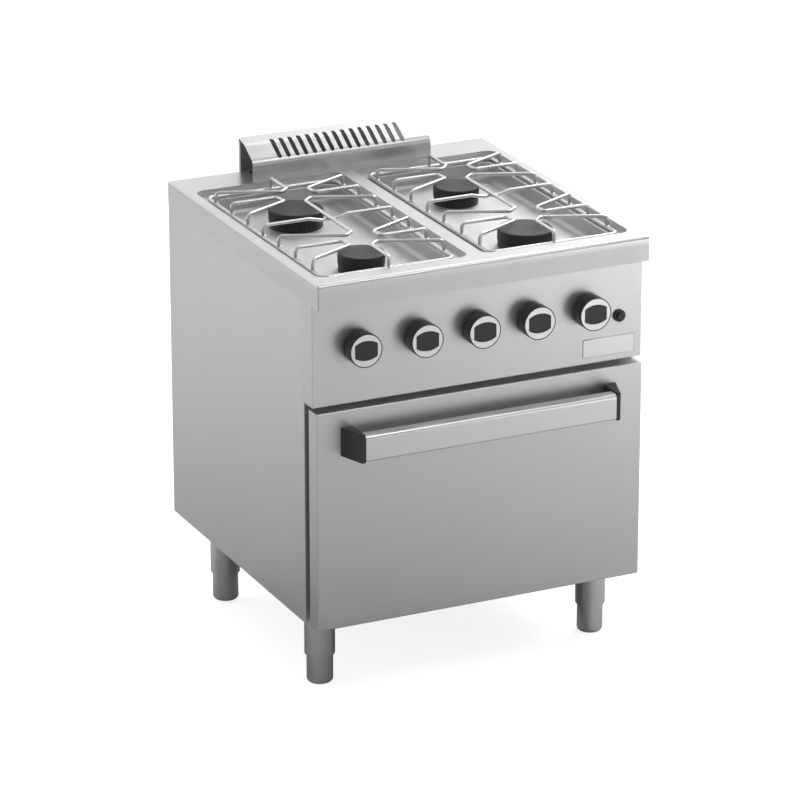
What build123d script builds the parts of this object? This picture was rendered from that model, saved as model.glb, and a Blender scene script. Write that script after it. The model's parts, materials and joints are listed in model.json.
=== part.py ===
from build123d import *
import os

# Commercial gas range: four open burners over a static oven, on four adjustable legs.
# Millimetres, +Z up, front towards -Y, +X to the right.
# The origin is on the floor, under the middle of the overall box (handle front to back edge).

os.makedirs("parts", exist_ok=True)

# ---- driving dimensions ------------------------------------------------------------
width = 700.0                 # overall width
depth = 720.0                 # front apron to back edge
handle_proud = 39.0           # door handle in front of the apron
top_z = 854.0                 # worktop surface
apron_z = 804.0               # lower edge of the worktop's flanges
body_z = 150.5                # underside of the body
sheet = 2.0                   # body sheet thickness
thin = 1.5                    # hood and duct sheet thickness

front = -(depth + handle_proud) / 2 + handle_proud     # Y of the apron's front face
half_w = width / 2
inner_w = half_w - sheet

# wells and burners
well_x = 172.5                # centre of each well
well_w, well_d = 315.0, 596.0
well_mid = 338.0              # distance of the well's centre behind the apron
well_r = 22.0
ledge_z = 841.5               # shelf that carries the pan support
ledge_side, ledge_end = 26.0, 28.0
floor_z = 806.0
burner_x = 175.0
burner_rows = (184.0, 488.0)  # burner centres behind the apron
small_r, large_r = 46.0, 54.5
cap_z, cap_top = 820.2, 842.0
throat_r = 20.0
venturi_z, venturi_r, venturi_len = 785.0, 14.0, 66.0

# pan supports
rod_r = 3.5
ring_r = 4.0                  # the ring that joins the fingers is a slightly heavier rod
rod_z = 869.0                 # centre line of the fingers
ring_z = ledge_z + ring_r + 0.3
ring_x = 137.0                # from the burner centre to the support's side rods
ring_y = 122.0                # beyond the burner centres to its end rods

# front
panel_y = 28.0                # control panel behind the apron
panel_z = 602.0               # its lower edge
side_y = 67.0                 # front edge of the side panels
frame_y = side_y + sheet      # oven front frame
knob_z = 714.5
knob_xs = (-254.0, -126.5, -5.5, 111.0, 231.0)
knob_r, knob_front, knob_back = 33.5, -8.0, 18.0
spindle_r = 4.0
button_x, button_z = 300.0, 692.0
running = 0.05                # radial clearance of a running fit
gap = 0.3                     # clearance between separate bodies

# door and handle
door_half, door_low, door_top = 346.7, body_z, 593.0
door_y, door_back = 16.0, 54.0
hinge_y, hinge_z, hinge_x = 46.0, 160.0, 302.5
pin_r = 4.0
handle_x, handle_half = -3.5, 266.0     # the bar's middle and half length
handle_low, handle_top = 505.0, 557.0
handle_front, handle_back = -handle_proud, -11.0

# oven
oven_half, oven_low, oven_high = 265.0, 175.0, 555.0
oven_back = 620.0
mouth_low = 215.0
sole_z = 235.0
wool = 30.0                   # insulation thickness
shelf_z = 390.0
rear_y = 694.0                # recessed rear panel

# flue
flue_half, flue_y = 196.0, 648.0
flue_bend_z, flue_knee, flue_knee_z, flue_top = 893.0, 690.0, 918.0, 925.0
slot_count, slot_pitch, slot_w, slot_len = 15, 19.3, 9.5, 48.0

# gas
manifold_y, manifold_z, manifold_r = 70.0, 690.0, 9.0
inlet_x, inlet_r = 300.0, 10.48
pipe_r = 5.0

# legs
leg_x, leg_rows = 296.0, (121.0, 583.0)
tube_r, foot_r, foot_top = 30.0, 26.0, 60.0
stud_r = 6.0


def at(distance):
    """Y of a point that lies this far behind the apron's front face."""
    return front + distance


def box(x0, x1, y0, y1, z0, z1, mode=Mode.ADD):
    """A block between two corners; y is measured from the apron's front face."""
    with Locations(((x0 + x1) / 2, at((y0 + y1) / 2), (z0 + z1) / 2)):
        Box(x1 - x0, y1 - y0, z1 - z0, mode=mode)


def along_y(x, z, y0, y1, radius, mode=Mode.ADD):
    """A round bar that runs from front to back."""
    with Locations((x, at((y0 + y1) / 2), z)):
        Cylinder(radius, y1 - y0, rotation=(90, 0, 0), mode=mode)


def along_x(y, z, x0, x1, radius, mode=Mode.ADD):
    """A round bar that runs from left to right."""
    with Locations(((x0 + x1) / 2, at(y), z)):
        Cylinder(radius, x1 - x0, rotation=(0, 90, 0), mode=mode)


def upright(x, y, z0, z1, radius, mode=Mode.ADD):
    """A round bar that stands up."""
    with Locations((x, at(y), (z0 + z1) / 2)):
        Cylinder(radius, z1 - z0, mode=mode)


def export(piece, label):
    piece.part.label = label
    export_step(piece.part, f"parts/{label}.step")


burners = {
    "rear_left": (-burner_x, burner_rows[1], large_r),
    "front_left": (-burner_x, burner_rows[0], small_r),
    "front_right": (burner_x, burner_rows[0], large_r),
    "rear_right": (burner_x, burner_rows[1], small_r),
}
legs = {
    "front_left": (-leg_x, leg_rows[0]),
    "front_right": (leg_x, leg_rows[0]),
    "rear_left": (-leg_x, leg_rows[1]),
    "rear_right": (leg_x, leg_rows[1]),
}

# ---- worktop: one pressed sheet with a bullnose front and two stepped wells ----------
bullnose, edge_r = 7.0, 3.0
with BuildPart() as worktop:
    box(-half_w, half_w, 0, depth, apron_z, top_z)
    front_face = worktop.faces().sort_by(Axis.Y)[0]
    fillet(front_face.edges().sort_by(Axis.Z)[-1], bullnose)
    for side in (0, -1):
        side_face = worktop.faces().sort_by(Axis.X)[side]
        rim = side_face.edges().filter_by(lambda e: e.center().Z > apron_z + 1)
        fillet(rim.filter_by(lambda e: e.center().Y < at(depth) - 1), edge_r)
    offset(amount=-sheet, openings=worktop.faces().sort_by(Axis.Z)[0])
    tub_w, tub_d = well_w - 2 * ledge_side, well_d - 2 * ledge_end
    for x in (-well_x, well_x):
        with BuildSketch(Plane.XY.offset(ledge_z - sheet)):
            with Locations((x, at(well_mid))):
                RectangleRounded(well_w + 2 * sheet, well_d + 2 * sheet, well_r + sheet)
        extrude(amount=top_z - ledge_z)
        with BuildSketch(Plane.XY.offset(floor_z - sheet)):
            with Locations((x, at(well_mid))):
                RectangleRounded(tub_w + 2 * sheet, tub_d + 2 * sheet, well_r + sheet)
        extrude(amount=ledge_z - floor_z)
    for x in (-well_x, well_x):
        with BuildSketch(Plane.XY.offset(ledge_z)):
            with Locations((x, at(well_mid))):
                RectangleRounded(well_w, well_d, well_r)
        extrude(amount=top_z - ledge_z, mode=Mode.SUBTRACT)
        with BuildSketch(Plane.XY.offset(floor_z)):
            with Locations((x, at(well_mid))):
                RectangleRounded(tub_w, tub_d, well_r)
        extrude(amount=ledge_z - floor_z, mode=Mode.SUBTRACT)
    for height, radius in ((floor_z, 11.0), (ledge_z, 4.0)):
        for face in worktop.faces().filter_by(Axis.Z):
            if abs(face.center().Z - height) < 0.01:
                loop = face.outer_wire() if height == floor_z else face.inner_wires()[0]
                fillet(loop.edges(), radius)
    for x, y, r in burners.values():
        upright(x, y, floor_z - 2 * sheet, floor_z + sheet, throat_r + 2, mode=Mode.SUBTRACT)
    box(-181, 181, 656, 712, top_z - 2 * sheet, top_z + 1, mode=Mode.SUBTRACT)
export(worktop, "worktop")

# ---- flue hood: a slotted, bent cover over the flue outlet, open at both ends ----------
hood_return = 8.0             # flange at each end of the hood's rear wall
with BuildPart() as flue_hood:
    with BuildSketch(Plane.YZ.offset(-flue_half)) as hood_profile:
        with BuildLine():
            Polyline(
                (at(flue_y), top_z),
                (at(flue_y), flue_bend_z),
                (at(flue_knee), flue_knee_z),
                (at(depth), flue_top),
                (at(depth), top_z),
                close=True,
            )
        make_face()
        corner = hood_profile.vertices().filter_by_position(Axis.Y, flue_bend_z - 1, flue_bend_z + 1)
        fillet(corner, 16)
        knee = hood_profile.vertices().filter_by_position(Axis.Y, flue_knee_z - 1, flue_knee_z + 1)
        fillet(knee, 40)
    extrude(amount=2 * flue_half)
    hood_ends = flue_hood.faces().filter_by(Axis.X)
    offset(amount=-thin, openings=[flue_hood.faces().sort_by(Axis.Z)[0], *hood_ends])
    for x0, x1 in ((-flue_half, thin - flue_half), (flue_half - thin, flue_half)):
        box(x0, x1, depth - hood_return, depth - thin / 2, top_z, flue_knee_z)
    slot_middle = (flue_y + flue_knee) / 2 + 6
    for i in range(slot_count):
        x = (i - (slot_count - 1) / 2) * slot_pitch
        with BuildSketch(Plane.XY.offset(top_z + 10)):
            with Locations((x, at(slot_middle))):
                SlotOverall(slot_len, slot_w, rotation=90)
        extrude(amount=80, mode=Mode.SUBTRACT)
export(flue_hood, "flue_hood")

# ---- casing ---------------------------------------------------------------------------
rear_screw_zs = (200.0, 400.0, 600.0, 780.0)
rear_screw_x = 337.0


def side_panel(side):
    """Side sheet with a front return and an inset rear flange; side is -1 or 1."""
    def across(a, b):
        return sorted((side * a, side * b))
    with BuildPart() as panel:
        box(*across(inner_w, half_w), side_y, depth, body_z, apron_z)
        box(*across(half_w - 28, half_w), side_y, frame_y, body_z, apron_z)
        box(*across(half_w - 26, half_w - 1), rear_y - sheet, rear_y, body_z, apron_z)
        outer_corner = panel.edges().filter_by(Axis.Z).sort_by(lambda e: -side * e.center().X)
        fillet(outer_corner.filter_by(lambda e: abs(e.center().X) > half_w - 0.1), 1.5)
        for z in rear_screw_zs:
            along_y(side * rear_screw_x, z, rear_y - 3 * sheet, rear_y + 1, 2.6, mode=Mode.SUBTRACT)
    return panel


side_panel_left = side_panel(-1)
export(side_panel_left, "side_panel_left")
side_panel_right = side_panel(1)
export(side_panel_right, "side_panel_right")

with BuildPart() as rear_panel:
    box(-inner_w, inner_w, rear_y, rear_y + sheet, body_z, apron_z)
    for x in (-rear_screw_x, rear_screw_x):
        for z in rear_screw_zs:
            along_y(x, z, rear_y - 1, rear_y + 3, 2.6, mode=Mode.SUBTRACT)
    along_y(inlet_x, manifold_z, rear_y - 1, rear_y + 3, 13, mode=Mode.SUBTRACT)
    louvre_pitch = 12.0
    for i in range(6):
        with BuildSketch(Plane.XZ.offset(-at(rear_y - 1))):
            with Locations((0, 640 + i * louvre_pitch)):
                SlotOverall(160, 5)
        extrude(amount=-4, mode=Mode.SUBTRACT)
export(rear_panel, "rear_panel")

with BuildPart() as base_panel:
    box(-inner_w, inner_w, frame_y, rear_y - sheet, body_z, body_z + sheet)
    box(-half_w + 27, half_w - 27, rear_y - sheet, rear_y, body_z, body_z + 25)
    for x, y in legs.values():
        upright(x, y, body_z - 1, body_z + 3, 5.3, mode=Mode.SUBTRACT)
export(base_panel, "base_panel")

with BuildPart() as front_frame:
    box(-inner_w, inner_w, frame_y, frame_y + sheet, body_z + sheet, panel_z)
    with BuildSketch(Plane.XZ.offset(-at(frame_y - 1))):
        with Locations((0, (mouth_low + oven_high) / 2)):
            RectangleRounded(2 * oven_half, oven_high - mouth_low, 12)
    extrude(amount=-4, mode=Mode.SUBTRACT)
export(front_frame, "front_frame")

with BuildPart() as control_panel:
    box(-half_w, half_w, panel_y, side_y, panel_z, apron_z)
    fillet(control_panel.edges().filter_by(Axis.Z).group_by(Axis.Y)[0], 1.5)
    fillet(control_panel.faces().sort_by(Axis.Y)[0].edges().sort_by(Axis.Z)[0], 1.5)
    offset(amount=-sheet, openings=control_panel.faces().sort_by(Axis.Y)[-1])
    for x in knob_xs:
        along_y(x, knob_z, panel_y - 1, panel_y + 3, 6, mode=Mode.SUBTRACT)
    along_y(button_x, button_z, panel_y - 1, panel_y + 3, 10.2, mode=Mode.SUBTRACT)
export(control_panel, "control_panel")

badge_x, badge_z, badge_w, badge_h, badge_t = 278.5, 633.5, 112.0, 37.0, 1.2
with BuildPart() as badge_plate:
    with BuildSketch(Plane.XZ.offset(-at(panel_y))):
        with Locations((badge_x, badge_z)):
            RectangleRounded(badge_w, badge_h, 3)
    extrude(amount=badge_t)
    fillet(badge_plate.faces().sort_by(Axis.Y)[0].edges(), 0.4)
export(badge_plate, "badge_plate")

# ---- oven -----------------------------------------------------------------------------
duct_half, duct_low = 150.0, 480.0
stub_half, stub_low, stub_high = 140.0, 498.0, 537.0
burner_tube_y, burner_tube_z, burner_tube_r = 330.0, 200.0, 13.0

with BuildPart() as oven_liner:
    box(-oven_half - sheet, oven_half + sheet, frame_y + sheet, oven_back + sheet,
        oven_low - sheet, oven_high + sheet)
    box(-oven_half, oven_half, frame_y, oven_back, oven_low, oven_high, mode=Mode.SUBTRACT)
    box(-stub_half + thin, stub_half - thin, oven_back - 1, oven_back + 3,
        stub_low + thin, stub_high - thin, mode=Mode.SUBTRACT)
    for side in (-1, 1):
        edge = sorted((side * (oven_half - 12), side * oven_half))
        box(*edge, frame_y + 4, oven_back, sole_z - 6, sole_z - 4)
    along_x(burner_tube_y, burner_tube_z, oven_half - 1, oven_half + 3, burner_tube_r + 0.5,
            mode=Mode.SUBTRACT)
export(oven_liner, "oven_liner")

wool_half, wool_back = oven_half + sheet + wool, oven_back + sheet + wool
with BuildPart() as oven_insulation:
    box(-wool_half, wool_half, frame_y + sheet, wool_back, oven_low - sheet - 12, oven_high + sheet + wool)
    box(-oven_half - sheet, oven_half + sheet, frame_y, oven_back + sheet,
        oven_low - sheet, oven_high + sheet, mode=Mode.SUBTRACT)
    box(-stub_half, stub_half, oven_back, wool_back + 1, stub_low, stub_high, mode=Mode.SUBTRACT)
    along_x(burner_tube_y, burner_tube_z, oven_half, wool_half + 1, burner_tube_r + 0.5,
            mode=Mode.SUBTRACT)
export(oven_insulation, "oven_insulation")

with BuildPart() as oven_sole_plate:
    box(-oven_half + 2, oven_half - 2, frame_y + 5, oven_back - 3, sole_z - 4, sole_z)
    for side in (-1, 1):
        for i in range(8):
            with BuildSketch(Plane.XY.offset(sole_z - 5)):
                with Locations((side * (oven_half - 30), at(120 + i * 62))):
                    SlotOverall(44, 10, rotation=90)
            extrude(amount=6, mode=Mode.SUBTRACT)
export(oven_sole_plate, "oven_sole_plate")

tube_end, tube_mouth = -235.0, 300.0
with BuildPart() as oven_burner:
    along_x(burner_tube_y, burner_tube_z, tube_end, tube_mouth, burner_tube_r)
    along_x(burner_tube_y, burner_tube_z, tube_end + 2, tube_mouth + 1, burner_tube_r - 2,
            mode=Mode.SUBTRACT)
    port_count, port_pitch = 18, 24.0
    for i in range(port_count):
        x = tube_end + 30 + i * port_pitch
        upright(x, burner_tube_y, burner_tube_z + 8, burner_tube_z + 15, 2, mode=Mode.SUBTRACT)
    for x in (-200, 200):
        box(x - 10, x + 10, burner_tube_y - 6, burner_tube_y + 6, oven_low, burner_tube_z - 11.5)
export(oven_burner, "oven_burner")

rack_rod, runner_x, post_x = 3.0, 256.5, 261.0
shelf_levels = (270.0, 330.0, shelf_z, 450.0)
with BuildPart() as shelf_racks:
    for side in (-1, 1):
        for y in (110, 580):
            upright(side * post_x, y, sole_z, 500, rack_rod)
        for z in shelf_levels:
            along_y(side * runner_x, z, 95, 595, rack_rod)
export(shelf_racks, "shelf_racks")

shelf_rod, cross_rod, shelf_wire = 3.5, 3.0, 2.0
shelf_half, shelf_front, shelf_back = 254.0, 88.0, 600.0
wire_count, wire_pitch = 17, 28.0
with BuildPart() as oven_shelf:
    rod_height = shelf_z + rack_rod + shelf_rod + gap
    for x in (-shelf_half, shelf_half):
        along_y(x, rod_height, shelf_front, shelf_back, shelf_rod)
    for y in (shelf_front + 5, (shelf_front + shelf_back) / 2, shelf_back - 5):
        along_x(y, rod_height, -shelf_half, shelf_half, cross_rod)
    for i in range(wire_count):
        x = (i - (wire_count - 1) / 2) * wire_pitch
        along_y(x, rod_height + cross_rod + 1, shelf_front, shelf_back, shelf_wire)
export(oven_shelf, "oven_shelf")

with BuildPart() as flue_duct:
    box(-duct_half, duct_half, wool_back + 3, wool_back + 38, duct_low, top_z - sheet)
    box(-stub_half, stub_half, oven_back + sheet, wool_back + 4, stub_low, stub_high)
    box(-duct_half + thin, duct_half - thin, wool_back + 3 + thin, wool_back + 38 - thin,
        duct_low + thin, top_z, mode=Mode.SUBTRACT)
    box(-stub_half + thin, stub_half - thin, oven_back, wool_back + 6,
        stub_low + thin, stub_high - thin, mode=Mode.SUBTRACT)
export(flue_duct, "flue_duct")

# ---- gas: manifold, inlet, taps, pipes, burners ----------------------------------------
manifold_start, manifold_end = -290.0, rear_y - 20
with BuildPart() as gas_manifold:
    with BuildLine():
        FilletPolyline(
            (manifold_start, at(manifold_y), manifold_z),
            (inlet_x, at(manifold_y), manifold_z),
            (inlet_x, at(manifold_end), manifold_z),
            radius=30,
        )
    with BuildSketch(Plane((manifold_start, at(manifold_y), manifold_z), z_dir=(1, 0, 0))):
        Circle(manifold_r)
    sweep()
export(gas_manifold, "gas_manifold")

inlet_bore, inlet_shank, hex_af = 6.5, 8.5, 27.0
hex_y, pin_y, inlet_end = rear_y + 3, rear_y + 9, depth - 1
with BuildPart() as gas_inlet:
    along_y(inlet_x, manifold_z, manifold_end, hex_y, inlet_shank)
    with BuildSketch(Plane.XZ.offset(-at(hex_y))):
        with Locations((inlet_x, manifold_z)):
            RegularPolygon(hex_af / 2, 6, major_radius=False)
    extrude(amount=hex_y - pin_y)
    along_y(inlet_x, manifold_z, pin_y, inlet_end, inlet_r)
    chamfer(gas_inlet.faces().sort_by(Axis.Y)[-1].edges(), 1)
    along_y(inlet_x, manifold_z, manifold_end - 1, depth, inlet_bore, mode=Mode.SUBTRACT)
export(gas_inlet, "gas_inlet")

tap_front, tap_back, tap_r = 33.0, 88.0, 14.0
burner_knobs, oven_knob = knob_xs[:4], knob_xs[4]


def tap_body(x, half_block, bar_r):
    """Valve barrel behind the panel, with a saddle on the manifold and a bore for its spindle."""
    along_y(x, knob_z, tap_front, tap_back, bar_r)
    box(x - half_block, x + half_block, manifold_y - 13, manifold_y + 13, manifold_z + 3, knob_z - 8)
    along_x(manifold_y, manifold_z, x - 40, x + 40, manifold_r + running, mode=Mode.SUBTRACT)
    along_y(x, knob_z, tap_front - 1, tap_front + 17, spindle_r + running, mode=Mode.SUBTRACT)


with BuildPart() as gas_taps:
    for x in burner_knobs:
        tap_body(x, 12, tap_r)
export(gas_taps, "gas_taps")

with BuildPart() as oven_thermostat:
    tap_body(oven_knob, 18, 20)
    box(oven_knob - 22, oven_knob + 22, tap_front + 22, tap_back, knob_z - 2, knob_z + 34)
export(oven_thermostat, "oven_thermostat")

with BuildPart() as igniter_body:
    along_y(button_x, button_z, panel_y - 6, panel_y, 12.3)
    chamfer(igniter_body.faces().sort_by(Axis.Y)[0].edges(), 1)
    along_y(button_x, button_z, panel_y, panel_y + 24, 10)
    along_y(button_x, button_z, panel_y + sheet, panel_y + sheet + 5, 13)
    along_y(button_x, button_z, panel_y - 7, panel_y + 19, 8.6 + running, mode=Mode.SUBTRACT)
export(igniter_body, "igniter_body")

button_travel = 4.0
with BuildPart() as igniter_button:
    along_y(button_x, button_z, panel_y - 10.5, panel_y + 19 - button_travel - 0.5, 8.6)
    fillet(igniter_button.faces().sort_by(Axis.Y)[0].edges(), 2)
export(igniter_button, "igniter_button")

with BuildPart() as gas_pipes:
    tap_for = dict(zip(("rear_left", "front_left", "front_right", "rear_right"), burner_knobs))
    for name, (x, y, r) in burners.items():
        tap_x = tap_for[name]
        injector = y - venturi_len + 4
        riser = injector - 18
        if name.startswith("front"):
            route = [
                (tap_x, at(tap_back), knob_z),
                (tap_x, at(riser), knob_z),
                (tap_x, at(riser), knob_z + 32),
                (x, at(riser), knob_z + 32),
                (x, at(riser), venturi_z),
                (x, at(injector), venturi_z),
            ]
        else:
            route = [
                (tap_x, at(tap_back), knob_z),
                (tap_x, at(riser), knob_z),
                (x, at(riser), knob_z),
                (x, at(riser), venturi_z),
                (x, at(injector), venturi_z),
            ]
        with BuildLine() as path:
            FilletPolyline(*route, radius=8)
        with BuildSketch(Plane(route[0], z_dir=(0, 1, 0))):
            Circle(pipe_r)
        sweep(path=path.line)
    drop_x = 323.0
    oven_route = [
        (oven_knob, at(tap_back), knob_z - 6),
        (oven_knob, at(130), knob_z - 6),
        (drop_x, at(130), knob_z - 6),
        (drop_x, at(130), burner_tube_z),
        (drop_x, at(burner_tube_y), burner_tube_z),
        (tube_mouth - 4, at(burner_tube_y), burner_tube_z),
    ]
    with BuildLine() as oven_path:
        FilletPolyline(*oven_route, radius=8)
    with BuildSketch(Plane(oven_route[0], z_dir=(0, 1, 0))):
        Circle(pipe_r)
    sweep(path=oven_path.line)
export(gas_pipes, "gas_pipes")

base_top = cap_z - 0.2
with BuildPart() as burner_bodies:
    for x, y, r in burners.values():
        upright(x, y, floor_z, base_top, r - 1)
        upright(x, y, venturi_z, floor_z, throat_r)
        along_y(x, venturi_z, y - venturi_len, y, venturi_r)
        with Locations((x, at(y), venturi_z)):
            Sphere(throat_r)
        upright(x, y, base_top - 8, base_top + 1, r - 9, mode=Mode.SUBTRACT)
        upright(x, y, venturi_z, base_top, throat_r - 6, mode=Mode.SUBTRACT)
        along_y(x, venturi_z, y - venturi_len - 1, y, venturi_r - 4, mode=Mode.SUBTRACT)
export(burner_bodies, "burner_bodies")

for name, (x, y, r) in burners.items():
    with BuildPart() as burner_cap:
        upright(x, y, cap_z, cap_top, r)
        fillet(burner_cap.faces().sort_by(Axis.Z)[-1].edges(), 4)
        upright(x, y, cap_z - 1, cap_top - 6, r - 8, mode=Mode.SUBTRACT)
        port_ring = 30
        with BuildSketch(Plane.XY.offset(cap_z - 1)):
            with Locations((x, at(y))):
                with PolarLocations(r - 4, port_ring):
                    Rectangle(14, 2)
        extrude(amount=5, mode=Mode.SUBTRACT)
    export(burner_cap, f"burner_cap_{name}")

with BuildPart() as pilot_burners:
    pilot_gap = 12.0
    for x, y, r in burners.values():
        reach = (r + pilot_gap) * 0.707
        upright(x + reach, y + reach, floor_z, floor_z + 3, 7)
        upright(x + reach, y + reach, floor_z, floor_z + 20, 3)
        upright(x + reach + 6, y + reach - 6, floor_z, floor_z + 24, 2)
        box(x + reach - 2, x + reach + 8, y + reach - 8, y + reach + 2, floor_z, floor_z + 3)
export(pilot_burners, "pilot_burners")

# ---- knobs: each has a push spindle, a turning body and a satin face ring -----------------
rim_w, face_deep = 1.8, 4.0
grip_rx, grip_rz, grip_w = 30.0, 19.5, 47.0      # arched centre block with upright sides


def grip(grow):
    """Outline of the knob's centre block, grown by a clearance."""
    Ellipse(grip_rx + grow, grip_rz + grow)
    Rectangle(grip_w + 2 * grow, 3 * grip_rz, mode=Mode.INTERSECT)


for number, x in enumerate(knob_xs, 1):
    with BuildPart() as knob_spindle:
        along_y(x, knob_z, 2, tap_front + 12, spindle_r)
    export(knob_spindle, f"knob_spindle_{number}")

    with BuildPart() as knob:
        along_y(x, knob_z, knob_front, knob_back, knob_r)
        fillet(knob.faces().sort_by(Axis.Y)[-1].edges(), 2)
        fillet(knob.faces().sort_by(Axis.Y)[0].edges(), 1.2)
        along_y(x, knob_z, knob_front - 1, knob_front + face_deep, knob_r - rim_w, mode=Mode.SUBTRACT)
        with BuildSketch(Plane.XZ.offset(-at(knob_front + face_deep))):
            with Locations((x, knob_z)):
                grip(0)
        extrude(amount=face_deep - 1)
        along_y(x, knob_z, knob_front + 6, knob_back + 1, knob_r - 6, mode=Mode.SUBTRACT)
        along_y(x, knob_z, knob_front + 5, knob_back, 9)
        along_y(x, knob_z, 2 - gap, knob_back + 1, spindle_r + running, mode=Mode.SUBTRACT)
    export(knob, f"knob_{number}")

    with BuildPart() as knob_ring:
        with BuildSketch(Plane.XZ.offset(-at(knob_front + face_deep))):
            with Locations((x, knob_z)):
                Circle(knob_r - rim_w - 0.2)
                with BuildSketch(mode=Mode.PRIVATE) as grip_hole:
                    grip(0.2)
                add(grip_hole.sketch, mode=Mode.SUBTRACT)
        extrude(amount=face_deep - 0.6)
    export(knob_ring, f"knob_ring_{number}")

# ---- door ---------------------------------------------------------------------------------
notch = (296.0, 309.0)
ear_t = 4.0


def door_notches():
    """Open the door's lower rear edge around each hinge lug."""
    for side in (-1, 1):
        x0, x1 = sorted(side * edge for edge in notch)
        box(x0, x1, 37, door_back + 6, door_low - 5, 180, mode=Mode.SUBTRACT)


with BuildPart() as door_outer_panel:
    box(-door_half, door_half, door_y, door_back - 2, door_low, door_top)
    fillet(door_outer_panel.faces().sort_by(Axis.Y)[0].edges(), 2.5)
    box(-door_half + sheet, door_half - sheet, door_y + sheet, door_back, door_low + sheet,
        door_top - sheet, mode=Mode.SUBTRACT)
    door_notches()
export(door_outer_panel, "door_outer_panel")

with BuildPart() as door_inner_panel:
    box(-door_half + sheet + gap, door_half - sheet - gap, door_back - 2, door_back,
        door_low + sheet + gap, door_top - sheet - gap)
    box(-door_half + sheet + gap, door_half - sheet - gap, door_back - 20, door_back,
        door_top - 2 * sheet - gap, door_top - sheet - gap)
    door_notches()
export(door_inner_panel, "door_inner_panel")

with BuildPart() as door_insulation:
    box(-door_half + 8, door_half - 8, door_y + sheet, door_back - 2, door_low + 8, door_top - 8)
    for side in (-1, 1):
        x0, x1 = sorted((side * (hinge_x - 15), side * (hinge_x + 15)))
        box(x0, x1, door_y, door_back, door_low, 196, mode=Mode.SUBTRACT)
export(door_insulation, "door_insulation")

with BuildPart() as door_hinge_arms:
    for side in (-1, 1):
        x0, x1 = sorted((side * (notch[0] - ear_t - 0.5), side * (notch[1] + ear_t + 0.5)))
        box(x0, x1, 33, 37, door_low + 4, 192)
        box(x0, x0 + ear_t, 37, door_back - 2, door_low + 4, 192)
        box(x1 - ear_t, x1, 37, door_back - 2, door_low + 4, 192)
        along_x(hinge_y, hinge_z, x0 - 1, x1 + 1, pin_r + running, mode=Mode.SUBTRACT)
export(door_hinge_arms, "door_hinge_arms")

with BuildPart() as door_hinge_brackets:
    lug_half = 3.2
    for side in (-1, 1):
        x = side * hinge_x
        along_x(hinge_y, hinge_z, x - lug_half, x + lug_half, 7.5)
        box(x - lug_half, x + lug_half, hinge_y, frame_y - 1, hinge_z - 7.5, hinge_z + 7.5)
        box(x - 14, x + 14, frame_y - 3, frame_y, body_z + 2 * sheet, 205)
        along_x(hinge_y, hinge_z, x - 12, x + 12, pin_r)
export(door_hinge_brackets, "door_hinge_brackets")

with BuildPart() as door_gasket:
    with BuildSketch(Plane.XZ.offset(-at(frame_y))):
        with Locations((0, (mouth_low + oven_high) / 2)):
            RectangleRounded(2 * oven_half + 34, oven_high - mouth_low + 34, 22)
            RectangleRounded(2 * oven_half + 10, oven_high - mouth_low + 10, 14, mode=Mode.SUBTRACT)
    extrude(amount=frame_y - door_back - gap)
export(door_gasket, "door_gasket")

with BuildPart() as door_handle:
    bar_left, bar_right = handle_x - handle_half, handle_x + handle_half
    box(bar_left, bar_right, handle_front, handle_back, handle_low, handle_top)
    long_edges = door_handle.edges().filter_by(Axis.X)
    fillet(long_edges.group_by(Axis.Z)[-1], 8)
    fillet(door_handle.edges().filter_by(Axis.X).group_by(Axis.Z)[0], 3)
    box(bar_left - 1, bar_right + 1, handle_front + 3, handle_back - 3,
        handle_low + 3, handle_top - 3, mode=Mode.SUBTRACT)
export(door_handle, "door_handle")

with BuildPart() as handle_caps:
    cap_low, cap_high = handle_low - 3, handle_top + 3
    for side in (-1, 1):
        with BuildSketch(Plane.XY.offset(cap_low)):
            with BuildLine():
                Polyline(
                    (handle_x + side * handle_half, at(handle_front)),
                    (handle_x + side * (handle_half + 9), at(handle_front)),
                    (handle_x + side * (handle_half + 28), at(door_y)),
                    (handle_x + side * (handle_half + 2), at(door_y)),
                    (handle_x + side * handle_half, at(handle_back)),
                    close=True,
                )
            make_face()
        extrude(amount=cap_high - cap_low)
    fillet(handle_caps.edges().filter_by(Axis.Z).group_by(Axis.Y)[0], 2.5)
    tops = handle_caps.faces().filter_by(Axis.Z).group_by(Axis.Z)
    outer_rims = (tops[-1].edges() + tops[0].edges()).filter_by(
        lambda e: abs(e.center().X - handle_x) > handle_half + 3 and e.center().Y < at(door_y) - 1)
    fillet(outer_rims, 3)
export(handle_caps, "handle_caps")

# ---- pan supports: four hairpins of rod round each burner, on a rectangular ring -------------
straight_in, cross_in, cross_in_side = 41.0, 45.0, 17.5
diagonal_in, diagonal_out = 29.0, 78.0
finger_bend = 8.0
mid_rod_r, mid_dip, dip_in, dip_out = 3.3, 6.3, 15.0, 42.0   # cross rod that passes under the link


def hairpin(hub_x, hub_y, start, tip_a, tip_b, end):
    """One bent rod: up from the ring, in to the burner, round and out to the ring again."""
    def point(p, z):
        return (hub_x + p[0], at(hub_y) + p[1], z)
    route = [point(start, ring_z), point(start, rod_z), point(tip_a, rod_z),
             point(tip_b, rod_z), point(end, rod_z), point(end, ring_z)]
    with BuildLine() as path:
        FilletPolyline(*route, radius=finger_bend)
    with BuildSketch(Plane(route[0], z_dir=(0, 0, 1))) as section:
        Circle(rod_r)
    sweep(section.sketch, path=path.line)


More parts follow.
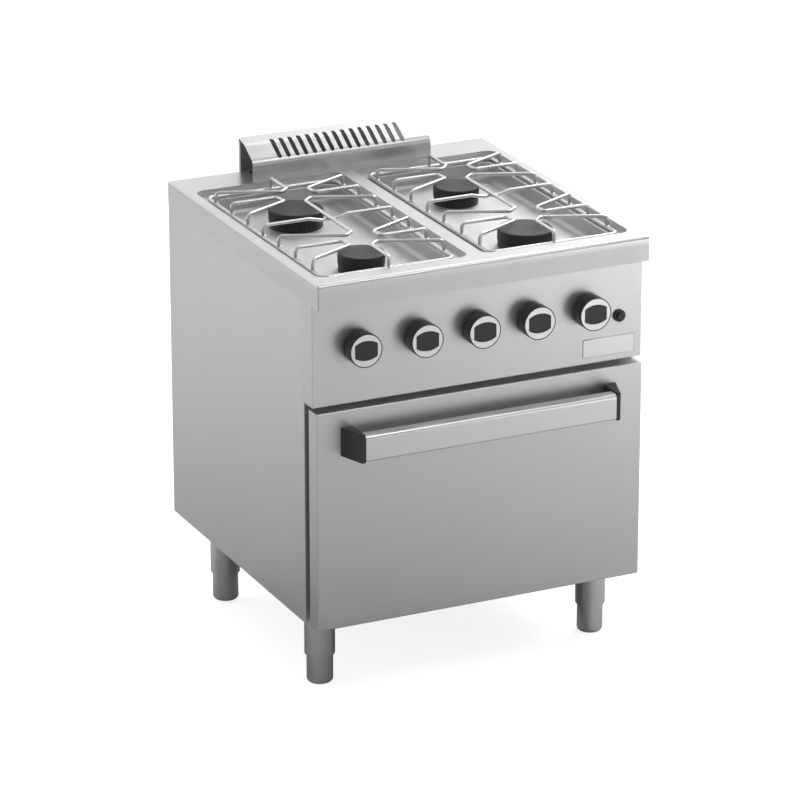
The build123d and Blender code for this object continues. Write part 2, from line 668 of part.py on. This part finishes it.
def pan_support(hub_x):
    front_hub, rear_hub = burner_rows
    with BuildPart() as support:
        for hub_y in burner_rows:
            for turn in (-1, 1):
                hairpin(hub_x, hub_y, (turn * ring_x, 0), (turn * straight_in, 0),
                        (turn * 38, turn * diagonal_in), (turn * ring_x, turn * diagonal_out))
        for hub_y, turn in ((front_hub, -1), (rear_hub, 1)):
            hairpin(hub_x, hub_y, (0, turn * ring_y), (0, turn * cross_in),
                    (-turn * cross_in_side, turn * diagonal_in), (-turn * ring_x, turn * diagonal_out))
        ends = front_hub + cross_in, rear_hub - cross_in
        inner = front_hub + diagonal_in, rear_hub - diagonal_in
        outer = front_hub + diagonal_out, rear_hub - diagonal_out
        link = [(hub_x - ring_x, at(outer[0]), ring_z), (hub_x - ring_x, at(outer[0]), rod_z),
                (hub_x - cross_in_side, at(inner[0]), rod_z), (hub_x, at(ends[0]), rod_z),
                (hub_x, at(ends[1]), rod_z), (hub_x + cross_in_side, at(inner[1]), rod_z),
                (hub_x + ring_x, at(outer[1]), rod_z), (hub_x + ring_x, at(outer[1]), ring_z)]
        with BuildLine() as path:
            FilletPolyline(*link, radius=finger_bend)
        with BuildSketch(Plane(link[0], z_dir=(0, 0, 1))) as section:
            Circle(rod_r)
        sweep(section.sketch, path=path.line)
        ring_w, ring_d = 2 * ring_x, rear_hub - front_hub + 2 * ring_y
        middle = at((front_hub + rear_hub) / 2)
        with BuildLine() as mid_path:
            FilletPolyline(
                (hub_x - ring_x, middle, ring_z),
                (hub_x - ring_x, middle, rod_z),
                (hub_x - dip_out, middle, rod_z),
                (hub_x - dip_in, middle, rod_z - mid_dip),
                (hub_x + dip_in, middle, rod_z - mid_dip),
                (hub_x + dip_out, middle, rod_z),
                (hub_x + ring_x, middle, rod_z),
                (hub_x + ring_x, middle, ring_z),
                radius=finger_bend,
            )
        with BuildSketch(Plane((hub_x - ring_x, middle, ring_z), z_dir=(0, 0, 1))) as section:
            Circle(mid_rod_r)
        sweep(section.sketch, path=mid_path.line)
        with BuildSketch(Plane.XY.offset(ring_z), mode=Mode.PRIVATE) as outline:
            with Locations((hub_x, middle)):
                RectangleRounded(ring_w, ring_d, 14)
        ring_path = outline.sketch.face().outer_wire()
        with BuildSketch(Plane(ring_path @ 0, z_dir=ring_path % 0)) as section:
            Circle(ring_r)
        sweep(section.sketch, path=ring_path)
    return support


for label, hub in (("pan_support_left", -burner_x), ("pan_support_right", burner_x)):
    support = pan_support(hub)
    export(support, label)

# ---- legs --------------------------------------------------------------------------------------
with BuildPart() as leg_tubes:
    for x, y in legs.values():
        upright(x, y, foot_top, body_z, tube_r)
        upright(x, y, foot_top + 16, body_z - 4, tube_r - 2, mode=Mode.SUBTRACT)
        upright(x, y, body_z - 5, body_z + 1, 5.3, mode=Mode.SUBTRACT)
        upright(x, y, foot_top - 1, foot_top + 17, stud_r + running, mode=Mode.SUBTRACT)
export(leg_tubes, "leg_tubes")

for name, (x, y) in legs.items():
    with BuildPart() as foot:
        upright(x, y, 0, foot_top - gap, foot_r)
        fillet(foot.faces().sort_by(Axis.Z)[0].edges(), 8)
        chamfer(foot.faces().sort_by(Axis.Z)[-1].edges(), 1)
        upright(x, y, foot_top - 1, foot_top + 60, stud_r)
    export(foot, f"foot_{name}")

with BuildPart() as body_fasteners:
    for x in (-rear_screw_x, rear_screw_x):
        for z in rear_screw_zs:
            along_y(x, z, rear_y - 8, rear_y + sheet, 2.5)
            along_y(x, z, rear_y + sheet, rear_y + sheet + 2.5, 4.5)
    for x, y in legs.values():
        upright(x, y, body_z - 10, body_z + sheet, 5)
        with BuildSketch(Plane.XY.offset(body_z + sheet)):
            with Locations((x, at(y))):
                RegularPolygon(8.5, 6, major_radius=False)
        extrude(amount=6.4)
export(body_fasteners, "body_fasteners")
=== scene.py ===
"""Looks of the four-burner gas range: materials, small fittings, floor, light and camera.

Metres, +Z up, the front of the range faces -Y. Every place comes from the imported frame.
"""
import json
import math

import bmesh
import bpy
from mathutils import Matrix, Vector


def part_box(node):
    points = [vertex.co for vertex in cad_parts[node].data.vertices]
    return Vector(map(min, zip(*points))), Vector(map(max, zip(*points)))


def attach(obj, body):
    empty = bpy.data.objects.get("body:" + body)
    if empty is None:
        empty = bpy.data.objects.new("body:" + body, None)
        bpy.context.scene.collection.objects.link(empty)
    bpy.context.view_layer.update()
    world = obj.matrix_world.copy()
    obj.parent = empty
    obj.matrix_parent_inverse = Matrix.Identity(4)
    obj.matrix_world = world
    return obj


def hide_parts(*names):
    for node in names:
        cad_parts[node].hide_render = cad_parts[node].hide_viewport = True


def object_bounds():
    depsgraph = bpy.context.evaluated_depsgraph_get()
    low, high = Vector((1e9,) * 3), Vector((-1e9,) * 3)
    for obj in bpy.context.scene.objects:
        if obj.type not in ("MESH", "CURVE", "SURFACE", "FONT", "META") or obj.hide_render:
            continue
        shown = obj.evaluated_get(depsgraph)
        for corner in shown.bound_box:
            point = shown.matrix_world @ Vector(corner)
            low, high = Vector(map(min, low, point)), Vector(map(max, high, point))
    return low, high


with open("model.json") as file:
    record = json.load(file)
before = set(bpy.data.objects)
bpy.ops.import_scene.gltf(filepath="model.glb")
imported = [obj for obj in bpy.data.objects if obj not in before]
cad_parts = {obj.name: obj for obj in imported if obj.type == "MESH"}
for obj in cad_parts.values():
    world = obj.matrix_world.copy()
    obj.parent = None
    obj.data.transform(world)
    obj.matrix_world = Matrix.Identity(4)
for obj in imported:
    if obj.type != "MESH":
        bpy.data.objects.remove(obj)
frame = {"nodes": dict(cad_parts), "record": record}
cad_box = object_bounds()
nodes = frame["nodes"]
mm = 0.001


# ---- node helpers -----------------------------------------------------------------------

class Shader:
    """A material's node tree, built one node at a time."""

    def __init__(self, name):
        self.material = bpy.data.materials.new(name)
        self.material.use_nodes = True
        self.tree = self.material.node_tree
        self.surface = self.tree.nodes["Principled BSDF"]
        self.place = self.add("ShaderNodeTexCoord").outputs["Object"]

    def add(self, kind, settings=None, **inputs):
        node = self.tree.nodes.new(kind)
        for key, value in (settings or {}).items():
            setattr(node, key, value)
        for key, value in inputs.items():
            self.feed(node.inputs[key.replace("_", " ")], value)
        return node

    def feed(self, socket, value):
        if isinstance(value, bpy.types.NodeSocket):
            self.tree.links.new(value, socket)
        else:
            socket.default_value = value

    def stretched(self, scale, source=None):
        """Object coordinates multiplied by a scale for each axis."""
        mapping = self.add("ShaderNodeMapping", Vector=source or self.place)
        mapping.inputs["Scale"].default_value = scale
        return mapping.outputs["Vector"]

    def noise(self, scale, detail=2.0, roughness=0.5, vector=None, distortion=0.0):
        node = self.add("ShaderNodeTexNoise", Vector=vector or self.place)
        node.inputs["Scale"].default_value = scale
        node.inputs["Detail"].default_value = detail
        node.inputs["Roughness"].default_value = roughness
        node.inputs["Distortion"].default_value = distortion
        return node.outputs["Fac"]

    def ramp(self, value, low, high, start=0.0, end=1.0):
        """value from low..high mapped to start..end, and held at the ends."""
        node = self.add("ShaderNodeMapRange", Value=value)
        node.inputs["From Min"].default_value = low
        node.inputs["From Max"].default_value = high
        node.inputs["To Min"].default_value = start
        node.inputs["To Max"].default_value = end
        return node.outputs["Result"]

    def math(self, operation, a, b=0.0):
        node = self.add("ShaderNodeMath", {"operation": operation})
        self.feed(node.inputs[0], a)
        self.feed(node.inputs[1], b)
        return node.outputs[0]

    def mix(self, factor, a, b):
        node = self.add("ShaderNodeMix", {"data_type": "RGBA"})
        self.feed(node.inputs[0], factor)
        self.feed(node.inputs[6], a)
        self.feed(node.inputs[7], b)
        return node.outputs[2]

    def bump(self, height, strength, distance):
        node = self.add("ShaderNodeBump", Height=height)
        node.inputs["Strength"].default_value = strength
        node.inputs["Distance"].default_value = distance
        self.feed(self.surface.inputs["Normal"], node.outputs["Normal"])

    def set(self, **values):
        for key, value in values.items():
            self.feed(self.surface.inputs[key.replace("_", " ")], value)


def grey(value):
    return (value, value, value, 1.0)


# ---- materials --------------------------------------------------------------------------

def brushed(name, tone, roughness, grain, tint=(1.0, 1.0, 1.01), depth=0.22, wells=False):
    """Brushed stainless: grain is the axis along which the brush ran."""
    s = Shader(name)
    along, across = 5.0, 1500.0
    fine = s.stretched([along if axis == grain else across for axis in "XYZ"])
    coarse = s.stretched([along / 2 if axis == grain else across / 5 for axis in "XYZ"])
    lines = s.noise(1.0, 3.0, 0.6, fine)
    bands = s.noise(1.0, 2.0, 0.5, coarse)
    cloud = s.noise(3.5, 3.0, 0.55)
    smear = s.noise(14.0, 4.0, 0.6, s.stretched((1.0, 1.0, 0.45)), 0.8)
    light = s.math("ADD", s.ramp(lines, 0.3, 0.7, -0.5, 0.5), s.ramp(bands, 0.3, 0.7, -0.5, 0.5))
    lift = s.ramp(light, -1.0, 1.0, 0.0, 1.0)
    low = tuple(tone * 0.98 * t for t in tint) + (1.0,)
    high = tuple(tone * 1.02 * t for t in tint) + (1.0,)
    s.set(Base_Color=s.mix(lift, low, high), Metallic=0.88)
    wander = s.math("ADD", s.ramp(cloud, 0.3, 0.7, -0.02, 0.02), s.ramp(smear, 0.35, 0.75, -0.012, 0.03))
    wander = s.math("ADD", wander, s.ramp(light, -1.0, 1.0, -0.02, 0.02))
    if wells:
        height = s.add("ShaderNodeSeparateXYZ", Vector=s.place).outputs["Z"]
        wander = s.math("ADD", wander, s.ramp(height, 0.836, 0.846, 0.2, 0.0))
    s.set(Roughness=s.math("ADD", wander, roughness))
    s.bump(s.math("ADD", s.math("MULTIPLY", lines, 0.7), s.math("MULTIPLY", bands, 0.3)), depth, 0.02 * mm)
    return s.material


def polished(name, tone, roughness, turned=0.0):
    """Polished or lightly turned round bar and tube."""
    s = Shader(name)
    rings = s.noise(1.0, 2.0, 0.5, s.stretched((30.0, 30.0, 1400.0)))
    cloud = s.noise(22.0, 3.0, 0.6)
    s.set(Base_Color=s.mix(s.ramp(cloud, 0.35, 0.65), grey(tone * 0.95), grey(tone)), Metallic=1.0)
    s.set(Roughness=s.math("ADD", s.ramp(cloud, 0.3, 0.7, roughness * 0.75, roughness * 1.3),
                           s.ramp(rings, 0.3, 0.7, -turned, turned)))
    s.bump(s.math("ADD", rings, s.math("MULTIPLY", cloud, 0.5)), 0.25, 0.02 * mm)
    return s.material


def galvanised(name):
    s = Shader(name)
    cells = s.add("ShaderNodeTexVoronoi", {"feature": "F1"}, Vector=s.place)
    cells.inputs["Scale"].default_value = 85.0
    spangle = s.add("ShaderNodeSeparateColor", Color=cells.outputs["Color"]).outputs[0]
    cloud = s.noise(9.0, 4.0, 0.6)
    s.set(Base_Color=s.mix(spangle, (0.42, 0.43, 0.44, 1), (0.58, 0.59, 0.61, 1)), Metallic=1.0)
    s.set(Roughness=s.math("ADD", s.ramp(spangle, 0.0, 1.0, 0.34, 0.5), s.ramp(cloud, 0.3, 0.7, -0.05, 0.06)))
    s.bump(spangle, 0.12, 0.05 * mm)
    return s.material


def cast_black(name, tone, roughness, pits=0.35):
    """Black enamelled or blacked iron: fine sand-cast grain under a thin worn coat."""
    s = Shader(name)
    grain = s.noise(900.0, 4.0, 0.65)
    lumps = s.noise(160.0, 3.0, 0.6)
    cloud = s.noise(30.0, 4.0, 0.6)
    s.set(Base_Color=s.mix(s.ramp(cloud, 0.3, 0.72), grey(tone * 0.7), grey(tone * 1.45)))
    s.set(Roughness=s.math("ADD", s.ramp(lumps, 0.3, 0.7, -0.07, 0.08), roughness))
    s.set(IOR=1.5)
    s.bump(s.math("ADD", grain, s.math("MULTIPLY", lumps, 0.8)), pits, 0.25 * mm)
    return s.material


def moulded(name, tone, roughness, texture=0.18):
    """Black moulded plastic with a fine spark-eroded surface."""
    s = Shader(name)
    pores = s.noise(1500.0, 2.0, 0.5)
    cloud = s.noise(45.0, 3.0, 0.55)
    s.set(Base_Color=s.mix(s.ramp(cloud, 0.3, 0.7), grey(tone * 0.85), grey(tone * 1.2)))
    s.set(Roughness=s.math("ADD", s.ramp(pores, 0.3, 0.7, -0.05, 0.05), s.ramp(cloud, 0.3, 0.7,
          roughness - 0.03, roughness + 0.05)))
    s.bump(pores, texture, 0.08 * mm)
    return s.material


def rubber(name):
    s = Shader(name)
    weave = s.noise(700.0, 3.0, 0.6)
    s.set(Base_Color=s.mix(weave, grey(0.012), grey(0.035)), Roughness=s.ramp(weave, 0.3, 0.7, 0.6, 0.8))
    s.bump(weave, 0.4, 0.2 * mm)
    return s.material


def enamel(name):
    """Dark speckled vitreous enamel."""
    s = Shader(name)
    specks = s.noise(420.0, 2.0, 0.5)
    wave = s.noise(26.0, 2.0, 0.5)
    s.set(Base_Color=s.mix(s.ramp(specks, 0.62, 0.68), (0.012, 0.013, 0.016, 1), (0.16, 0.17, 0.18, 1)))
    s.set(Roughness=s.ramp(wave, 0.3, 0.7, 0.12, 0.24))
    s.bump(wave, 0.2, 0.3 * mm)
    return s.material


def wool(name):
    s = Shader(name)
    fibre = s.noise(1.0, 5.0, 0.7, s.stretched((900.0, 240.0, 900.0)), 1.5)
    tuft = s.noise(60.0, 4.0, 0.6)
    s.set(Base_Color=s.mix(s.ramp(fibre, 0.3, 0.7), (0.36, 0.31, 0.19, 1), (0.66, 0.61, 0.44, 1)), Roughness=0.95)
    s.bump(s.math("ADD", fibre, tuft), 0.8, 1.2 * mm)
    return s.material


def turned(name, colour, roughness):
    """Machined brass or plated steel with fine tool marks."""
    s = Shader(name)
    marks = s.noise(1.0, 2.0, 0.5, s.stretched((300.0, 2600.0, 300.0)))
    cloud = s.noise(40.0, 4.0, 0.6)
    dull = tuple(c * 0.72 for c in colour) + (1.0,)
    s.set(Base_Color=s.mix(s.ramp(cloud, 0.3, 0.7), dull, colour + (1.0,)), Metallic=1.0)
    s.set(Roughness=s.math("ADD", s.ramp(cloud, 0.3, 0.7, roughness, roughness + 0.15),
                           s.ramp(marks, 0.3, 0.7, -0.05, 0.05)))
    s.bump(marks, 0.2, 0.04 * mm)
    return s.material


def coated(name, colour, roughness):
    """Grey coated pipe."""
    s = Shader(name)
    peel = s.noise(380.0, 2.0, 0.5)
    cloud = s.noise(20.0, 4.0, 0.6)
    dark = tuple(c * 0.75 for c in colour) + (1.0,)
    s.set(Base_Color=s.mix(s.ramp(cloud, 0.3, 0.7), dark, colour + (1.0,)))
    s.set(Roughness=s.ramp(peel, 0.3, 0.7, roughness - 0.06, roughness + 0.08))
    s.bump(peel, 0.25, 0.15 * mm)
    return s.material


def heat_tinted(name):
    s = Shader(name)
    cloud = s.noise(12.0, 4.0, 0.6)
    s.set(Base_Color=s.mix(s.ramp(cloud, 0.35, 0.65), (0.36, 0.27, 0.2, 1), (0.52, 0.5, 0.48, 1)), Metallic=1.0)
    s.set(Roughness=s.ramp(cloud, 0.3, 0.7, 0.3, 0.48))
    s.bump(s.noise(500.0, 3.0, 0.6), 0.2, 0.1 * mm)
    return s.material


slots = {
    "enamelled_steel": enamel("dark_enamel"),
    "galvanised_steel": galvanised("galvanised_sheet"),
    "mineral_wool": wool("mineral_wool_board"),
    "cast_plate": cast_black("cast_sole_plate", 0.05, 0.6, 0.5),
    "burner_tube": heat_tinted("heat_tinted_tube"),
    "polished_wire": polished("chromed_wire", 0.72, 0.12),
    "gas_pipe_steel": coated("coated_pipe", (0.3, 0.3, 0.31), 0.45),
    "brass_fitting": turned("machined_brass", (0.72, 0.52, 0.22), 0.22),
    "black_plastic": moulded("black_moulding", 0.022, 0.42),
    "black_button": moulded("black_button_plastic", 0.012, 0.25, 0.08),
    "black_cast_iron": cast_black("blacked_iron", 0.009, 0.5),
    "black_gasket": rubber("door_seal"),
    "handle_steel": brushed("brushed_bar", 0.68, 0.3, "X"),
    "pan_support_steel": polished("bright_rod", 0.66, 0.3),
    "polished_leg": polished("polished_tube", 0.82, 0.08, 0.01),
    "zinc_screws": turned("zinc_plate", (0.62, 0.62, 0.6), 0.3),
    "black_knob": moulded("knob_phenolic", 0.016, 0.38),
    "knob_ring_metal": brushed("satin_ring", 0.74, 0.34, "X"),
    "badge_metal": brushed("badge_satin", 0.7, 0.3, "X"),
}
satin_across = brushed("satin_sheet_across", 0.62, 0.33, "X")
satin_upright = brushed("satin_sheet_upright", 0.64, 0.38, "Z")
satin_top = brushed("satin_sheet_top", 0.62, 0.33, "X", wells=True)
sheet_grain = {"side_panel_left": satin_upright, "side_panel_right": satin_upright, "worktop": satin_top}
for part in frame["record"]["subparts"]:
    obj = nodes[part["node"]]
    material = sheet_grain.get(part["node"], slots.get(part["material_slot"], satin_across))
    for index in range(max(len(obj.material_slots), 1)):
        if not obj.material_slots:
            obj.data.materials.append(material)
        obj.material_slots[index].material = material


# ---- small fittings, built as meshes -----------------------------------------------------

def piece(name, points, faces, body, slot_name):
    mesh = bpy.data.meshes.new(name)
    mesh.from_pydata([tuple(p) for p in points], [], faces)
    mesh.update()
    bm = bmesh.new()
    bm.from_mesh(mesh)
    bmesh.ops.recalc_face_normals(bm, faces=bm.faces)
    bm.to_mesh(mesh)
    bm.free()
    mesh.shade_smooth()
    mesh.set_sharp_from_angle(angle=math.radians(35))
    obj = bpy.data.objects.new(name, mesh)
    bpy.context.scene.collection.objects.link(obj)
    mesh.materials.append(slots[slot_name])
    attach(obj, body)
    return obj


def rings_to_faces(first, rings, around, closed=False, capped=False):
    """Quads between rings of points that were added one after the other."""
    faces = []
    for r in range(rings if closed else rings - 1):
        a, b = first + r * around, first + (r + 1) % rings * around
        for k in range(around):
            n = (k + 1) % around
            faces.append((a + k, a + n, b + n, b + k))
    if capped:
        faces.append(tuple(range(first, first + around)))
        faces.append(tuple(range(first + (rings - 1) * around, first + rings * around)))
    return faces


def centre_of(node):
    low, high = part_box(node)
    return (Vector(low) + Vector(high)) / 2


def weld_bead(points, faces, centre, radius, thick, phase):
    """A rippled fillet of weld round the foot of an upright rod."""
    around, section, first = 40, 10, len(points)
    for k in range(around):
        turn = 2 * math.pi * k / around
        ripple = 1.0 + 0.13 * math.sin(9 * turn + phase) + 0.06 * math.sin(17 * turn + 2 * phase)
        for j in range(section):
            roll = 2 * math.pi * j / section
            out = radius + thick * ripple * math.cos(roll)
            points.append(centre + Vector((out * math.cos(turn), out * math.sin(turn),
                                           thick * 0.8 * ripple * math.sin(roll))))
    faces += rings_to_faces(first, around, section, closed=True)


ring_rod, finger_rod, spread = 4.0 * mm, 3.5 * mm, 78.0 * mm
weld_thick, weld_sunk = 1.3 * mm, 0.6 * mm
for side in ("left", "right"):
    low, high = (Vector(c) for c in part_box("pan_support_" + side))
    front_y, rear_y = (centre_of(f"burner_cap_{end}_{side}").y for end in ("front", "rear"))
    hub = centre_of(f"burner_cap_front_{side}").x
    left, right = low.x + ring_rod, high.x - ring_rod
    feet = [(x, y) for y in (front_y, rear_y) for x in (left, right)]
    feet += [(right, front_y + spread), (left, front_y - spread), (right, rear_y + spread)]
    feet += [(left, rear_y - spread), (hub, low.y + ring_rod), (hub, high.y - ring_rod)]
    feet += [(right, front_y - spread), (left, rear_y + spread)]
    feet += [(left, front_y + spread), (right, rear_y - spread)]
    feet += [(x, (front_y + rear_y) / 2) for x in (left, right)]
    points, faces = [], []
    for phase, (x, y) in enumerate(feet):
        weld_bead(points, faces, Vector((x, y, low.z + 2 * ring_rod - weld_sunk)),
                  finger_rod + 0.2 * mm, weld_thick, phase * 1.7)
    piece("welds_" + side, points, faces, "pan_support_" + side, "pan_support_steel")


def screw_head(points, faces, centre, radius, dome):
    """Domed head with a cross recess, facing the back (+Y), on a plain shank."""
    around, rings, first = 48, 14, len(points)
    for r in range(rings):
        share = 1 - r / (rings - 1)
        for k in range(around):
            turn = 2 * math.pi * k / around
            x, z = radius * share * math.cos(turn), radius * share * math.sin(turn)
            height = dome * (1 - share ** 3)
            if min(abs(x), abs(z)) < 0.11 * radius and max(abs(x), abs(z)) < 0.55 * radius:
                height -= 0.5 * dome
            points.append(centre + Vector((x, height, z)))
    for depth in (0.0, -8 * mm):
        for k in range(around):
            turn = 2 * math.pi * k / around
            points.append(centre + Vector((0.55 * radius * math.cos(turn), depth,
                                           0.55 * radius * math.sin(turn))))
    faces += rings_to_faces(first, rings, around)
    faces += rings_to_faces(first + rings * around, 2, around, capped=True)
    faces.append(tuple(range(first, first + around)))


def leg_nut(points, faces, centre, across, thick):
    """Chamfered hexagon nut standing on a round washer, with the bolt's end through it."""
    for sides, stages in (
        (40, ((0.62, 0.0), (0.68, 0.0), (0.68, 0.16), (0.62, 0.2))),
        (6, ((0.53, 0.2), (0.577, 0.27), (0.577, 0.9), (0.53, 1.0))),
        (32, ((0.27, -2.5), (0.29, -2.4), (0.29, 1.0), (0.26, 1.06))),
    ):
        first = len(points)
        for radius, height in stages:
            for k in range(sides):
                turn = 2 * math.pi * k / sides
                points.append(centre + Vector((across * radius * math.cos(turn),
                                               across * radius * math.sin(turn), thick * height)))
        faces += rings_to_faces(first, len(stages), sides, capped=True)


rear_low, rear_high = (Vector(c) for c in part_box("rear_panel"))
sheet, screw_inset, screw_heights = 2 * mm, 11 * mm, (200, 400, 600, 780)
base_top = Vector(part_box("base_panel")[0]).z + sheet
points, faces = [], []
for x in (rear_low.x + screw_inset, rear_high.x - screw_inset):
    for height in screw_heights:
        screw_head(points, faces, Vector((x, rear_high.y + 0.1 * mm, height * mm)), 4.5 * mm, 2.6 * mm)
nut_across, nut_thick = 17 * mm, 6.4 * mm
for corner in ("front_left", "front_right", "rear_left", "rear_right"):
    foot = centre_of("foot_" + corner)
    leg_nut(points, faces, Vector((foot.x, foot.y, base_top)), nut_across, nut_thick)
fasteners = piece("fasteners", points, faces, "cabinet", "zinc_screws")
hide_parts("body_fasteners")


def framed(name, low, high, corner, profile, body, slot_name):
    """A profile of (inwards, forwards) points carried round a rounded rectangle that faces the front."""
    points, steps = [], 10
    base = high.y
    for cx, cz, start in (
        (high.x - corner, high.z - corner, 0), (low.x + corner, high.z - corner, 90),
        (low.x + corner, low.z + corner, 180), (high.x - corner, low.z + corner, 270),
    ):
        for k in range(steps):
            turn = math.radians(start + 90 * k / (steps - 1))
            for inwards, forwards in profile:
                reach = corner - inwards
                points.append(Vector((cx + reach * math.cos(turn), base - forwards, cz + reach * math.sin(turn))))
    return piece(name, points, rings_to_faces(0, 4 * steps, len(profile), closed=True), body, slot_name)


low, high = (Vector(c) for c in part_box("door_gasket"))
half, tall = 6 * mm, high.y - low.y
bulb = [(half - half * math.cos(math.pi * k / 12), tall - half + half * math.sin(math.pi * k / 12))
        for k in range(13)]
lip = [(2 * half + 1.6 * mm, 1.2 * mm), (2 * half + 1.6 * mm, 0.0), (0.0, 0.0)]
seal = framed("bulb_seal", low, high, 22 * mm, bulb + lip, "cabinet", "black_gasket")
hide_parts("door_gasket")

low, high = (Vector(c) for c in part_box("badge_plate"))
bead = [(0.0, 1.0 * mm), (0.1 * mm, 1.5 * mm), (0.5 * mm, 1.8 * mm), (0.9 * mm, 1.6 * mm), (1.1 * mm, 1.0 * mm)]
framed("badge_rim", low, high, 3 * mm, bead, "cabinet", "badge_metal")

end_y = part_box("gas_inlet")[1][1]
axis, pitch, crest, around = centre_of("gas_inlet"), 1.8 * mm, 0.42 * mm, 48
turns, tube_r = 8, 10.45 * mm
points = []
for k in range(turns * around):
    turn = 2 * math.pi * k / around
    along = end_y - 1.2 * mm - pitch * k / around
    fade = min(1.0, k / around, (turns * around - 1 - k) / around)
    for shift, rise in ((-0.42, -0.3), (0.0, crest * fade / mm), (0.42, -0.3)):
        reach = tube_r + rise * mm
        points.append(Vector((axis.x + reach * math.cos(turn), along + shift * pitch,
                              axis.z + reach * math.sin(turn))))
piece("inlet_thread", points, rings_to_faces(0, turns * around, 3, capped=True), "cabinet", "brass_fitting")


# ---- floor, light, camera -----------------------------------------------------------------

def floor(name, height, painted_shade_grey, tone, glow=0.0):
    """A wide flat floor: tone is its far grey; its grey round the range is painted shade, set darker there in
    place of the range's shadow on the floor.
    """
    half = 14.0
    mesh = bpy.data.meshes.new(name)
    corners = [(-half, -half, height), (half, -half, height), (half, half, height), (-half, half, height)]
    mesh.from_pydata(corners, [], [(0, 1, 2, 3)])
    obj = bpy.data.objects.new(name, mesh)
    bpy.context.scene.collection.objects.link(obj)
    s = Shader(name + "_paint")
    place = s.add("ShaderNodeSeparateXYZ", Vector=s.place)
    span = s.math("SQRT", s.math("ADD", s.math("MULTIPLY", place.outputs["X"], place.outputs["X"]),
                                 s.math("MULTIPLY", place.outputs["Y"], place.outputs["Y"])))
    # Painted shade: the base colour runs from the grey round the range, held within 0.5 m, out to the far tone at
    # 2.4 m.
    s.set(Base_Color=s.mix(s.ramp(span, 0.5, 2.4), grey(painted_shade_grey), grey(tone)), Roughness=0.9)
    s.set(Specular_IOR_Level=0.0)
    s.set(Emission_Color=grey(1.0), Emission_Strength=glow)
    mesh.materials.append(s.material)
    return obj


studio_floor = floor("studio_floor", -0.0005, 0.6, 0.6, 0.78)
studio_floor.visible_glossy = False
studio_floor.visible_diffuse = False
studio_floor.visible_shadow = False
# The bounce floor, seen only in reflections, is painted darker round the range (0.38 against 0.78) as shade, so
# the lower panels reflect a shaded floor.
bounce_floor = floor("bounce_floor", -0.0015, 0.38, 0.78)
bounce_floor.visible_camera = False


def sky():
    """A soft surround: brighter low behind, to the rear left and overhead."""
    world = bpy.data.worlds.new("studio")
    bpy.context.scene.world = world
    world.use_nodes = True
    tree = world.node_tree
    background = tree.nodes["Background"]
    direction = tree.nodes.new("ShaderNodeTexCoord").outputs["Generated"]
    total = None
    for (x, y, z), edge, core, strength in (
        ((0.10, 0.92, 0.38), 0.6, 0.98, 0.62),
        ((-0.75, 0.62, 0.12), 0.55, 1.0, 0.30),
        ((0.35, 0.10, 0.93), 0.4, 1.0, 0.16),
    ):
        dot = tree.nodes.new("ShaderNodeVectorMath")
        dot.operation = "DOT_PRODUCT"
        tree.links.new(direction, dot.inputs[0])
        dot.inputs[1].default_value = Vector((x, y, z)).normalized()
        glow = tree.nodes.new("ShaderNodeMapRange")
        glow.interpolation_type = "SMOOTHSTEP"
        tree.links.new(dot.outputs["Value"], glow.inputs["Value"])
        glow.inputs["From Min"].default_value = edge
        glow.inputs["From Max"].default_value = core
        glow.inputs["To Max"].default_value = strength
        if total is None:
            total = glow.outputs["Result"]
        else:
            add = tree.nodes.new("ShaderNodeMath")
            tree.links.new(total, add.inputs[0])
            tree.links.new(glow.outputs["Result"], add.inputs[1])
            total = add.outputs[0]
    add = tree.nodes.new("ShaderNodeMath")
    add.inputs[1].default_value = 0.42
    tree.links.new(total, add.inputs[0])
    rays = tree.nodes.new("ShaderNodeLightPath")
    pick = tree.nodes.new("ShaderNodeMix")
    tree.links.new(rays.outputs["Is Camera Ray"], pick.inputs[0])
    tree.links.new(add.outputs[0], pick.inputs[2])
    pick.inputs[3].default_value = 1.0
    tree.links.new(pick.outputs[0], background.inputs["Strength"])
    background.inputs["Color"].default_value = grey(1.0)


def softbox(name, place, aim, width, height, watts):
    light = bpy.data.lights.new(name, "AREA")
    light.shape = "RECTANGLE"
    light.size, light.size_y = width, height
    light.energy = watts
    obj = bpy.data.objects.new(name, light)
    bpy.context.scene.collection.objects.link(obj)
    obj.location = place
    obj.rotation_euler = (Vector(aim) - Vector(place)).to_track_quat("-Z", "Y").to_euler()
    obj.visible_camera = False
    return obj


sky()
middle = (cad_box[0] + cad_box[1]) / 2
softbox("key_softbox", middle + Vector((2.6, 1.6, 2.6)), middle, 2.2, 2.2, 105)
softbox("low_front_softbox", middle + Vector((2.3, -2.4, -0.12)), middle, 2.4, 1.2, 21)
softbox("edge_softbox", middle + Vector((0.9, -1.9, 2.7)), middle, 1.2, 0.8, 12)
softbox("side_softbox", middle + Vector((-2.6, 1.9, 0.5)), middle, 2.0, 1.0, 12)

view_turn, view_down = math.radians(25.44), math.radians(20.17)
camera = bpy.data.cameras.new("camera")
camera.lens, camera.sensor_width = 201.5, 36.0
camera_object = bpy.data.objects.new("camera", camera)
bpy.context.scene.collection.objects.link(camera_object)
camera_object.location = (-3.590, -7.507, 3.518)
camera_object.rotation_euler = (math.pi / 2 - view_down, 0.0, -view_turn)
bpy.context.scene.camera = camera_object
bpy.context.scene.view_settings.view_transform = "Standard"
